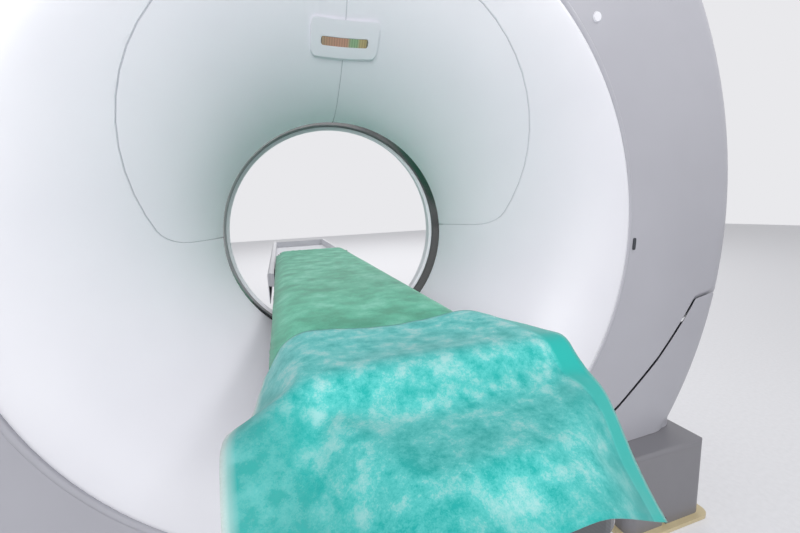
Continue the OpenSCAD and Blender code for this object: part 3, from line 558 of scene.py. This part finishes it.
key_grey = moulded("silicone_key_pale_grey", "#cfd2d6", "#c2c5ca", 0.5)
key_green = moulded("silicone_key_green", "#3f9a6a", "#348459", 0.5)
key_amber = moulded("silicone_key_amber", "#d99a3a", "#c4882f", 0.5)
window_black = moulded("acrylic_window_black", "#15181b", "#101214", 0.12, 0.004, 0.00001)
for side, word in ((-1, "left"), (1, "right")):
    sets = {key_grey: [], key_green: [(-KEY_PITCH_X, LOWEST_KEY)],
            key_amber: [(KEY_PITCH_X, LOWEST_KEY)]}
    for row in range(4):
        for column in (-1, 0, 1):
            spot = (KEY_PITCH_X * column, LOWEST_KEY + KEY_PITCH_Z * row)
            if row or not column:
                sets[key_grey].append(spot)
    for finish, spots in sets.items():
        bm = bmesh.new()
        for dx, dz in spots:
            pad_on_face(bm, side * (PANEL.x + dx), PANEL.y + dz, *KEY_SIZE)
        keys = new_piece(word + "_" + finish.name, bm, finish, smooth=False)
        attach(keys, NODES["control_panels"]["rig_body"])
    bm = bmesh.new()
    pad_on_face(bm, side * PANEL.x, PANEL.y + WINDOW_UP, *WINDOW_SIZE)
    window = new_piece(word + "_panel_window", bm, window_black, smooth=False)
    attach(window, NODES["control_panels"]["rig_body"])
print("keys on two panels")

# %% [markdown]
# ## Vinyl and nonwoven cloth
#
# Couch pads are foam in a welded vinyl cover with a fine leather grain of about two
# millimetres. The disposable sheets are bonded nonwoven polypropylene, thin enough to see
# through a little. Where such a sheet touches a pale pad it looks pale and mottled. Where it hangs
# free or lies double it looks deep turquoise. The sheet's own attributes "free" and "fold" say
# which, and "hem" marks the white edge.

# %% Vinyl and nonwoven sheet


def vinyl(name, base, deep):
    material, shader = finish_named(name, IOR=1.5, Sheen_Weight=0.1)
    place = add(material, "TexCoord").outputs["Object"]
    cracks = add(material, "TexVoronoi", Vector=place, Scale=420.0,
                 feature="DISTANCE_TO_EDGE")
    patches = add(material, "TexNoise", Vector=place, Scale=14.0, Detail=4.0)
    tone = ramp(material, patches.outputs[0], [(0.3, deep), (0.7, base)])
    polish = number_ramp(material, patches.outputs[0], 0.38, 0.55, 0.3, 0.7)
    bump = add(material, "Bump", Height=cracks.outputs["Distance"], Strength=0.5,
               Distance=0.0003)
    feed(material, shader, Base_Color=tone, Roughness=polish, Normal=bump.outputs[0])
    return material


def nonwoven(name, pale, mid, deep, cloud=34.0, relief=0.0006):
    """The sheet's material, the value of its thickness, the value free, and its shader."""
    material, shader = finish_named(name, IOR=1.45, Roughness=0.75, Sheen_Weight=0.25,
                                    Sheen_Roughness=0.5)
    place = add(material, "TexCoord").outputs["Object"]
    free = add(material, "Attribute", attribute_name="free").outputs["Fac"]
    clouds = add(material, "TexNoise", Vector=place, Scale=cloud, Detail=6.0, Roughness=0.62)
    fibres = add(material, "TexNoise", Vector=place, Scale=420.0, Detail=3.0, Distortion=1.2)
    both = add(material, "Math", operation="MULTIPLY_ADD", in0=fibres.outputs[0], in1=0.35,
               in2=clouds.outputs[0])
    touching = ramp(material, both.outputs[0], [(0.48, pale), (0.66, mid), (0.84, deep)])
    hanging = ramp(material, both.outputs[0], [(0.45, mid), (0.75, deep)])
    mixed = add(material, "Mix", data_type="RGBA", in0=free)
    material.node_tree.links.new(touching, mixed.inputs[6])
    material.node_tree.links.new(hanging, mixed.inputs[7])
    for mark, shade in (("hem", "#e9f5f3"), ("fold", "#17b3ab")):
        over = add(material, "Mix", data_type="RGBA",
                   in0=add(material, "Attribute", attribute_name=mark).outputs["Fac"])
        material.node_tree.links.new(mixed.outputs[2], over.inputs[6])
        over.inputs[7].default_value = linear(shade)
        mixed = over
    bump = add(material, "Bump", Height=both.outputs[0], Strength=0.35, Distance=relief)
    feed(material, shader, Base_Color=mixed.outputs[2], Normal=bump.outputs[0])
    return material, both.outputs[0], free, shader


pad_vinyl = vinyl("grained_vinyl_charcoal", "#4a4d55", "#3d4047")
rest_vinyl = vinyl("grained_vinyl_pale_grey", "#dfe2e4", "#d2d6da")
drape_cloth, thick, free, shader = nonwoven("bonded_nonwoven_turquoise", "#b4ebe9", "#5ed2ce",
                                            "#10b0ab")
veil = number_ramp(drape_cloth, thick, 0.80, 0.97, 0.45, 0.8)
thinner = add(drape_cloth, "Math", operation="MULTIPLY_ADD", in0=free, in1=-0.2, in2=veil)
doubled = add(drape_cloth, "Attribute", attribute_name="fold").outputs["Fac"]
thicker = add(drape_cloth, "Math", operation="MULTIPLY_ADD", in0=doubled, in1=0.5,
              in2=thinner.outputs[0])
feed(drape_cloth, shader, Alpha=thicker.outputs[0])
sheet_cloth = nonwoven("bonded_nonwoven_green", "#7fd4bb", "#45bd98", "#229a77", 12.0,
                       0.0002)[0]
print("two vinyls and two nonwovens")

# %% [markdown]
# ## Helpers for soft pieces
#
# A pad starts a little smaller than the space that it fills: the mattress as a box with rounded
# edges, the cushion as a copy of its CAD solid. It is remeshed to even faces, and Blender's Cloth
# blows it up gently, so that its sides belly out and its seams pull in. The points are moved to
# where the simulation left them, and its modifier is removed, so no simulation is left on the
# piece. A sheet is dropped in the same way.

# %% Making and inflating a pad


def round_off(piece, voxel, passes):
    """Gives the piece even faces, and softens its edges in a number of passes."""
    only(piece)
    remesh = piece.modifiers.new("even faces", "REMESH")
    remesh.mode = "VOXEL"
    remesh.voxel_size = voxel
    bpy.ops.object.modifier_apply(modifier=remesh.name)
    bm = bmesh.new()
    bm.from_mesh(piece.data)
    for _ in range(passes):
        bmesh.ops.smooth_vert(bm, verts=bm.verts, factor=0.5, use_axis_x=True,
                              use_axis_y=True, use_axis_z=True)
    bm.to_mesh(piece.data)
    bm.free()


def settled(piece, simulation, frames):
    """Runs a simulation, removes it, and returns where each point came to rest."""
    scene = bpy.context.scene
    for step in range(1, frames + 1):
        scene.frame_set(step)
    view = piece.evaluated_get(bpy.context.evaluated_depsgraph_get())
    made = view.to_mesh()
    places = [v.co.copy() for v in made.vertices]
    view.to_mesh_clear()
    piece.modifiers.remove(simulation)
    scene.frame_set(1)
    return places


def inflate(piece, voxel, pressure, cap, frames=20):
    """Blows the pad up by cloth simulation, with no point moved by more than cap."""
    round_off(piece, voxel, 0)
    rest = [v.co.copy() for v in piece.data.vertices]
    cloth = piece.modifiers.new("inflation", "CLOTH")
    cloth.settings.use_pressure = True
    cloth.settings.uniform_pressure_force = pressure
    cloth.settings.effector_weights.gravity = 0
    cloth.settings.quality = 5
    moved = settled(piece, cloth, frames)
    for vertex, a, b in zip(piece.data.vertices, rest, moved):
        step = b - a
        if step.length > cap:
            step *= cap / step.length
        vertex.co = a + step
    for face in piece.data.polygons:
        face.use_smooth = True


print("helpers for pads and sheets")

# %% [markdown]
# ## The mattress and the head cushion
#
# The cradle is a shallow trough, so both pads have a rounded underside that lies in it. The
# underside is bent to the trough's arc after the block is cut into strips. The mattress is a
# slab of foam and stays quite flat. The cushion is thicker, softer and pale, because a thin cloth
# looks lightest where it lies on something pale.

# %% Bending a block to the cradle's arc


def in_the_trough(bm, low, half_width, rise):
    """Lifts the lower half of a pad towards its edges, as the cradle's top rises."""
    top = max(v.co.z for v in bm.verts)
    for vertex in bm.verts:
        down_share = (top - vertex.co.z) / (top - low)
        across = min(abs(vertex.co.x) / half_width, 1)
        vertex.co.z += rise * across * across * down_share


def cut_across(bm, step):
    """Cuts a bmesh into slices along X and Y, so that it can bend."""
    for axis in (0, 1):
        start = min(v.co[axis] for v in bm.verts)
        end = max(v.co[axis] for v in bm.verts)
        count = int((end - start) / step)
        for i in range(1, count):
            spot = Vector((0, 0, 0))
            spot[axis] = start + (end - start) * i / count
            normal = Vector((0, 0, 0))
            normal[axis] = 1
            bmesh.ops.bisect_plane(bm, geom=bm.verts[:] + bm.edges[:] + bm.faces[:],
                                   plane_co=spot, plane_no=normal)


TROUGH_RISE = 0.026
mattress_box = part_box("mattress")
low = mattress_box[0] + Vector((0.004, 0.004, 0.001))
high = mattress_box[1] - Vector((0.004, 0.004, 0.003))
bm = rounded_block(low, high, 0.012, 3)
cut_across(bm, 0.06)
in_the_trough(bm, low.z, mattress_box[1].x, TROUGH_RISE)
mattress = new_piece("mattress_cover", bm, pad_vinyl)
inflate(mattress, 0.010, 1.2, 0.004)
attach(mattress, "cradle_body")
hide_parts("mattress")
print("mattress", len(mattress.data.polygons), "faces")

# %% [markdown]
# A mattress cover is welded from a top and a bottom sheet, and a thin cord of the same vinyl
# hides the weld. No mesh operator makes a tube along a path, so a bevelled curve is turned to a
# mesh.

# %% Piping round the mattress


def piping(name, corners, radius, material):
    """A closed welded cord along the corners, as a mesh tube."""
    line = bpy.data.curves.new(name, "CURVE")
    line.dimensions = "3D"
    line.bevel_depth = radius
    line.bevel_resolution = 3
    path = line.splines.new("POLY")
    path.points.add(len(corners) - 1)
    for point, corner in zip(path.points, corners):
        point.co = (*corner, 1)
    path.use_cyclic_u = True
    shaped = bpy.data.objects.new(name, line)
    mesh = bpy.data.meshes.new_from_object(shaped)
    bpy.data.objects.remove(shaped)
    for face in mesh.polygons:
        face.use_smooth = True
    mesh.materials.clear()
    mesh.materials.append(material)
    piece = bpy.data.objects.new(name, mesh)
    bpy.context.scene.collection.objects.link(piece)
    return piece


def rounded_ring(low, high, radius, z, steps=6):
    """Corners of a rounded rectangle at the height z."""
    ring = []
    left, right = low.x + radius, high.x - radius
    near, far = low.y + radius, high.y - radius
    for cx, cy, start in ((right, far, 0), (left, far, 90), (left, near, 180), (right, near, 270)):
        for i in range(steps + 1):
            a = math.radians(start + 90 * i / steps)
            ring.append((cx + radius * math.cos(a), cy + radius * math.sin(a), z))
    return ring


inset = Vector((0.002, 0.002, 0))
low, high = mattress_box[0] + inset, mattress_box[1] - inset
welt = piping("mattress_piping", rounded_ring(low, high, 0.012, high.z - 0.013), 0.0025, pad_vinyl)
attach(welt, "cradle_body")
print("piping", len(welt.data.polygons), "faces")

# %% [markdown]
# The head rest is a flat pad with a higher pillow at its back, on the narrowing end of the
# cradle. It starts as a slightly smaller copy of its CAD solid, which has the right outline. Its
# edges are smoothed, and a shallow hollow is pressed in its top before it is blown up.

# %% The head cushion
SHRINK_X, SHRINK_Y, SHRINK_Z = 0.975, 0.97, 0.004
cushion_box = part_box("head_cushion")
middle = (cushion_box[0] + cushion_box[1]) / 2
bm = bmesh.new()
bm.from_mesh(NODES["head_cushion"].data)
bmesh.ops.remove_doubles(bm, verts=bm.verts, dist=0.0001)
for vertex in bm.verts:
    vertex.co.x *= SHRINK_X
    vertex.co.y = middle.y + (vertex.co.y - middle.y) * SHRINK_Y
    vertex.co.z -= SHRINK_Z if vertex.co.z > cushion_box[0].z + 0.03 else 0
cushion = new_piece("head_cushion_cover", bm, rest_vinyl)
round_off(cushion, 0.006, 14)
HOLLOW, HOLLOW_WIDTH, HOLLOW_LENGTH, HOLLOW_DEPTH = Vector((0, -0.74)), 0.10, 0.09, 0.020
for vertex in cushion.data.vertices:
    if vertex.co.z > middle.z:
        along = (vertex.co.y - HOLLOW.y) / HOLLOW_LENGTH
        reach = Vector((vertex.co.x / HOLLOW_WIDTH, along)).length
        vertex.co.z -= HOLLOW_DEPTH * math.exp(-reach * reach)
inflate(cushion, 0.006, 3.0, 0.006)
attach(cushion, "cradle_body")
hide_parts("head_cushion")
print("head cushion", len(cushion.data.polygons), "faces")

# %% [markdown]
# ## The sheets
#
# The drape on the head rest is a flat piece of nonwoven that was laid over the cushion by hand, a
# little off the middle. It is dropped on the cushion by cloth simulation, from a flat grid with
# shallow waves, and gets its thickness afterwards. The nonwoven is stiff for its weight, so its
# bending stiffness is high and it stands away from the side of the cushion in broad folds. Its
# left edge is white and its right edge is folded double. A tube as wide as the bore stands round
# it while it falls, so that no corner hangs where it would catch when the cradle slides through.

# %% Dropping a sheet
CLEARANCE, SHEET_THICKNESS = 0.003, 0.0008


def flat_sheet(name, material, left, right, near, far_y, height, step, wave=0.004):
    """A grid with shallow waves, that the simulation lets fall."""
    bm = bmesh.new()
    across = int((right - left) / step)
    along = int((far_y - near) / step)
    bmesh.ops.create_grid(bm, x_segments=across, y_segments=along, size=0.5)
    bmesh.ops.scale(bm, vec=(right - left, far_y - near, 1), verts=bm.verts)
    bmesh.ops.translate(bm, vec=((left + right) / 2, (near + far_y) / 2, height),
                        verts=bm.verts)
    for vertex in bm.verts:
        spot = Vector((vertex.co.x * 7, vertex.co.y * 7, 3.3))
        vertex.co.z += wave * noise.noise(spot)
    return new_piece(name, bm, material)


def drop(piece, things, frames, stiffness=2.0, mass=0.05):
    """Lets the sheet fall on things by cloth simulation, and keeps the result."""
    for thing in things:
        thing.modifiers.new("hit", "COLLISION")
        thing.collision.thickness_outer = CLEARANCE
        thing.collision.cloth_friction = 40
    only(piece)
    cloth = piece.modifiers.new("fall", "CLOTH")
    cloth.settings.quality = 8
    cloth.settings.mass = mass
    cloth.settings.bending_stiffness = stiffness
    cloth.settings.tension_stiffness = 40
    cloth.settings.compression_stiffness = 40
    cloth.settings.air_damping = 2
    cloth.collision_settings.distance_min = CLEARANCE
    moved = settled(piece, cloth, frames)
    for thing in things:
        thing.modifiers.remove(thing.modifiers["hit"])
    for vertex, place in zip(piece.data.vertices, moved):
        vertex.co = place


def thicken(piece):
    """Gives the sheet its thickness."""
    thickness = piece.modifiers.new("thickness", "SOLIDIFY")
    thickness.thickness = SHEET_THICKNESS


def mark_edges(piece, left, right, hem_width=0.012, fold_width=0.034):
    """Writes hem: 1 on the white left edge of the flat sheet, and fold: 1 on its doubled right."""
    hem = piece.data.attributes.new("hem", "FLOAT", "POINT")
    fold = piece.data.attributes.new("fold", "FLOAT", "POINT")
    for i, vertex in enumerate(piece.data.vertices):
        hem.data[i].value = min(max(1 - (vertex.co.x - left) / hem_width, 0), 1)
        fold.data[i].value = 1 if vertex.co.x > right - fold_width else 0


def mark_free(piece, things, near=0.004, apart=0.02):
    """Writes the attribute free: 0 where the sheet touches what it lies on, 1 where not."""
    trees = [BVHTree.FromPolygons([v.co for v in t.data.vertices],
                                  [p.vertices[:] for p in t.data.polygons]) for t in things]
    values = piece.data.attributes.new("free", "FLOAT", "POINT")
    for i, vertex in enumerate(piece.data.vertices):
        gap = min(tree.find_nearest(vertex.co)[3] for tree in trees)
        values.data[i].value = min(max((gap - near) / (apart - near), 0), 1)


print("a sheet is", SHEET_THICKNESS * 1000, "mm thick")

# %% The drape on the head rest
TUBE_R, TUBE_LENGTH, TUBE_Y = 0.347, 0.9, -0.85
DRAPE_LEFT, DRAPE_RIGHT, DRAPE_NEAR, DRAPE_FAR = -0.270, 0.215, -1.068, -0.634
bm = bmesh.new()
along_bore = Matrix.Translation((0, TUBE_Y, ISO.z)) @ Matrix.Rotation(math.radians(90), 4, "X")
bmesh.ops.create_cone(bm, cap_ends=False, segments=96, radius1=TUBE_R, radius2=TUBE_R,
                      depth=TUBE_LENGTH, matrix=along_bore)
bmesh.ops.reverse_faces(bm, faces=bm.faces)
bore_tube = new_piece("bore_tube", bm, rest_vinyl)

drape_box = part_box("head_drape")
drape = flat_sheet("head_drape_sheet", drape_cloth, DRAPE_LEFT, DRAPE_RIGHT, DRAPE_NEAR,
                   DRAPE_FAR, drape_box[1].z + 0.006, 0.008)
mark_edges(drape, DRAPE_LEFT, DRAPE_RIGHT)
drop(drape, [cushion, NODES["cradle"], bore_tube], 40, 30.0, 0.010)
bpy.data.objects.remove(bore_tube)
mark_free(drape, [cushion], 0.010, 0.060)
thicken(drape)
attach(drape, "cradle_body")
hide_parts("head_drape")
print("left front corner of the drape", [round(c, 3) for c in drape.data.vertices[0].co])

# %% [markdown]
# The sheet on the mattress is a greener and softer nonwoven, so it lies nearly flat. It is a
# little wider than the mattress, and its edges hang down at both sides.

# %% The sheet on the mattress
sheet_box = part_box("couch_sheet")
SHEET_HALF = 0.235
sheet = flat_sheet("couch_sheet_cloth", sheet_cloth, -SHEET_HALF, SHEET_HALF, sheet_box[0].y,
                   sheet_box[1].y, sheet_box[1].z + 0.006, 0.014, 0.006)
drop(sheet, [mattress, NODES["cradle"]], 26)
mark_free(sheet, [mattress])
thicken(sheet)
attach(sheet, "cradle_body")
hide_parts("couch_sheet")
print("sheet", round(sheet_box[1].y - sheet_box[0].y, 3), "m long")

# %% [markdown]
# ## Floor and light
#
# The floor is plain and pale. The room light is soft: a dim even world and three large panels.
# The key panel stands behind the camera, so that it lights the disc from the front and leaves
# the flare in half shade. The top panel lights the shroud, and the ceiling panel lights the couch
# and the floor behind the gantry. The camera, gloss and glass see a nearly white world, while the
# light on the object comes from a dimmer one, so that its colours stay as they were picked. The
# floor glows a little for the same rays, so that it does not go dark far away.

# %% Floor and world


def background_share(owner):
    """1 for a ray that shows the background: straight to the camera, by gloss or through glass."""
    path = add(owner, "LightPath")
    gloss = add(owner, "Math", operation="MAXIMUM", in0=path.outputs["Is Camera Ray"],
                in1=path.outputs["Is Glossy Ray"])
    glass = add(owner, "Math", operation="MAXIMUM", in0=gloss.outputs[0],
                in1=path.outputs["Is Transmission Ray"])
    return glass.outputs[0]


bm = bmesh.new()
bmesh.ops.create_grid(bm, x_segments=1, y_segments=1, size=14)
floor_finish, shader = finish_named("pale_vinyl_floor", Roughness=0.6)
place = add(floor_finish, "TexCoord").outputs["Object"]
flecks = add(floor_finish, "TexNoise", Vector=place, Scale=60.0, Detail=4.0)
glow = number_ramp(floor_finish, background_share(floor_finish), 0, 0.38)
feed(floor_finish, shader, Emission_Strength=glow,
     Base_Color=ramp(floor_finish, flecks.outputs[0], [(0.3, "#c6c6c9"), (0.7, "#cdcdd0")]))
shader.inputs["Emission Color"].default_value = linear("#d8d8dc")
floor = new_piece("floor", bm, floor_finish, smooth=False)
floor.location.z = -0.001

world = bpy.data.worlds.new("soft_room")
bpy.context.scene.world = world
world.use_nodes = True
world.node_tree.nodes.clear()
seen = add(world, "Background", Color=linear("#e9e9ec"))
lit = add(world, "Background", Color=linear("#f4f6fa"), Strength=0.2)
mixed = add(world, "MixShader", in0=background_share(world), in1=lit.outputs[0],
            in2=seen.outputs[0])
add(world, "OutputWorld", Surface=mixed.outputs[0])
print("a pale floor and a world of strength", lit.inputs["Strength"].default_value)

# %% Lamps


def soft_panel(name, place, target, size, power):
    """A white area lamp of the given size that faces the target."""
    lamp = bpy.data.lights.new(name, "AREA")
    lamp.shape = "RECTANGLE"
    lamp.size, lamp.size_y = size
    lamp.energy = power
    made = bpy.data.objects.new(name, lamp)
    bpy.context.scene.collection.objects.link(made)
    made.location = place
    made.rotation_euler = (Vector(target) - Vector(place)).to_track_quat("-Z", "Y").to_euler()


soft_panel("key_panel", (-0.6, -3.4, 2.0), (-0.1, -0.4, 1.4), (1.8, 1.4), 78)
soft_panel("top_panel", (1.6, -1.3, 2.9), (1.1, -0.4, 1.9), (1.0, 0.8), 18)
soft_panel("ceiling_panel", (1.5, 5.5, 5.0), (1.5, 5.5, 0), (8.0, 7.0), 320)
bpy.context.scene.view_settings.view_transform = "Standard"
print("three panels")
